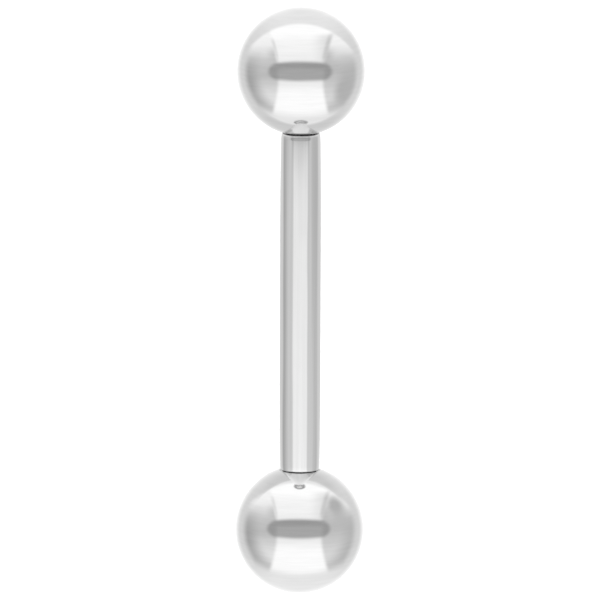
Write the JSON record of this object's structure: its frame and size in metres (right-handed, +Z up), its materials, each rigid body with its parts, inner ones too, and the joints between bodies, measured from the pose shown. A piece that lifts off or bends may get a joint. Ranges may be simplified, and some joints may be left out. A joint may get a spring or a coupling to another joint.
{
  "type": "piercing barbell",
  "caption": "Straight piercing barbell in mirror-polished steel: a plain shaft with threaded ends and a screw-on ball at each end.",
  "frame": {"origin": "on the surface that the barbell lies on, below the middle of its length", "axes": "+Y along the shaft towards the top ball, +Z up from the surface"},
  "size_m": [0.005, 0.0232, 0.005],
  "materials": {
    "shaft_steel": "surgical steel, drawn and polished along the shaft",
    "ball_steel": "surgical steel, mirror polished"
  },
  "bodies": {
    "bar": {"bar": "shaft_steel"},
    "top_ball": {"top_ball": "ball_steel"},
    "bottom_ball": {"bottom_ball": "ball_steel"}
  },
  "joints": [
    {"name": "top_ball_screw", "type": "slide", "parent": "bar", "child": "top_ball", "axis": [0, 1, 0], "range_m": [0, 0.0035]},
    {"name": "bottom_ball_screw", "type": "slide", "parent": "bar", "child": "bottom_ball", "axis": [0, -1, 0], "range_m": [0, 0.0035]}
  ]
}
